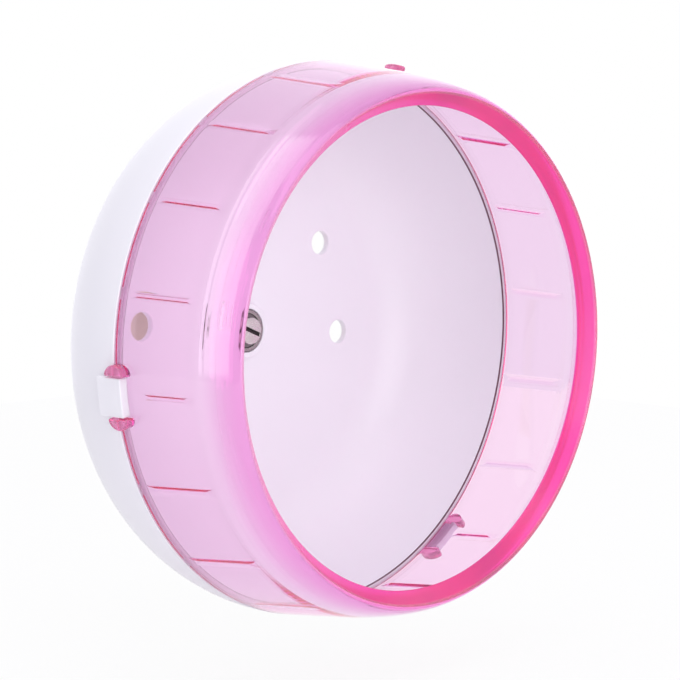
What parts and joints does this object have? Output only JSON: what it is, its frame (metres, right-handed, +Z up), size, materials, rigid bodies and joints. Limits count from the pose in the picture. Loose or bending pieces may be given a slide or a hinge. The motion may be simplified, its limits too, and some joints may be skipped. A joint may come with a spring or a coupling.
{
  "type": "hamster wheel",
  "caption": "Small-pet exercise wheel: clear pink ring snapped onto a white bowl, turning on ball bearings on a screw that a wing nut clamps to a cage wall.",
  "frame": {"origin": "on the axle line, on the cage-wall side of the inner clamp plate", "axes": "+Z up, the axle along Y, the wheel's mouth towards -Y and the cage wall towards +Y"},
  "size_m": [0.1423, 0.1139, 0.14],
  "materials": {
    "clear_pink_plastic": "clear pink moulded plastic, polished",
    "white_plastic": "opaque cool white moulded plastic, smooth",
    "bearing_steel": "ground bearing steel",
    "shield_steel": "pressed dark steel",
    "screw_steel": "plated steel, lightly worn",
    "cage_brass": "stamped brass",
    "ivory_plastic": "ivory moulded plastic, fine satin"
  },
  "bodies": {
    "axle": {"axle_screw": "screw_steel", "front_inner_race": "bearing_steel", "rear_inner_race": "bearing_steel", "bearing_spacer": "screw_steel", "standoff_sleeve": "ivory_plastic", "inner_clamp_plate": "ivory_plastic", "lock_nut": "screw_steel"},
    "wheel": {"front_ring": "clear_pink_plastic", "back_bowl": "white_plastic", "front_outer_race": "bearing_steel", "rear_outer_race": "bearing_steel", "front_bearing_front_shield": "shield_steel", "front_bearing_back_shield": "shield_steel", "rear_bearing_front_shield": "shield_steel", "rear_bearing_back_shield": "shield_steel"},
    "latch_1": {"latch_tab_1": "white_plastic"},
    "latch_2": {"latch_tab_2": "white_plastic"},
    "latch_3": {"latch_tab_3": "white_plastic"},
    "front_balls": {"front_ball_1": "bearing_steel", "front_ball_2": "bearing_steel", "front_ball_3": "bearing_steel", "front_ball_4": "bearing_steel", "front_ball_5": "bearing_steel", "front_ball_6": "bearing_steel", "front_ball_7": "bearing_steel", "front_ball_cage": "cage_brass"},
    "rear_balls": {"rear_ball_1": "bearing_steel", "rear_ball_2": "bearing_steel", "rear_ball_3": "bearing_steel", "rear_ball_4": "bearing_steel", "rear_ball_5": "bearing_steel", "rear_ball_6": "bearing_steel", "rear_ball_7": "bearing_steel", "rear_ball_cage": "cage_brass"},
    "clamp": {"outer_clamp_plate": "ivory_plastic", "clamp_washer": "screw_steel"},
    "wing": {"wing_nut": "ivory_plastic"}
  },
  "joints": [
    {"name": "wheel_spin", "type": "hinge", "parent": "axle", "child": "wheel", "pos_m": [0, -0.0189, 0], "axis": [0, 1, 0], "continuous": true},
    {"name": "front_ball_roll", "type": "hinge", "parent": "axle", "child": "front_balls", "pos_m": [0, -0.0189, 0], "axis": [0, 1, 0], "continuous": true},
    {"name": "rear_ball_roll", "type": "hinge", "parent": "axle", "child": "rear_balls", "pos_m": [0, -0.0189, 0], "axis": [0, 1, 0], "continuous": true},
    {"name": "latch_1_lift", "type": "hinge", "parent": "wheel", "child": "latch_1", "pos_m": [0.02775, -0.0495, 0.06459], "axis": [-0.9188, 0, 0.3947], "range_deg": [0, 12], "stiffness_Nm_per_rad": 0.02, "springref_deg": -8.59},
    {"name": "latch_2_lift", "type": "hinge", "parent": "wheel", "child": "latch_2", "pos_m": [-0.06981, -0.0495, -0.00826], "axis": [0.1175, 0, -0.9931], "range_deg": [0, 12], "stiffness_Nm_per_rad": 0.02, "springref_deg": -8.59},
    {"name": "latch_3_lift", "type": "hinge", "parent": "wheel", "child": "latch_3", "pos_m": [0.04206, -0.0495, -0.05633], "axis": [0.8013, 0, 0.5983], "range_deg": [0, 12], "stiffness_Nm_per_rad": 0.02, "springref_deg": -8.59},
    {"name": "clamp_slide", "type": "slide", "parent": "axle", "child": "clamp", "axis": [0, 1, 0], "range_m": [-0.0021, 0]},
    {"name": "wing_nut_turn", "type": "hinge", "parent": "clamp", "child": "wing", "pos_m": [0, 0.0134, 0], "axis": [0, 1, 0], "range_deg": [-1080, 0]}
  ],
  "couplings": [
    {"joint": "front_ball_roll", "follows": "wheel_spin", "ratio": 0.6159},
    {"joint": "rear_ball_roll", "follows": "wheel_spin", "ratio": 0.6159},
    {"joint": "wing_nut_turn", "follows": "clamp_slide", "rad_per_m": 8975.9}
  ]
}
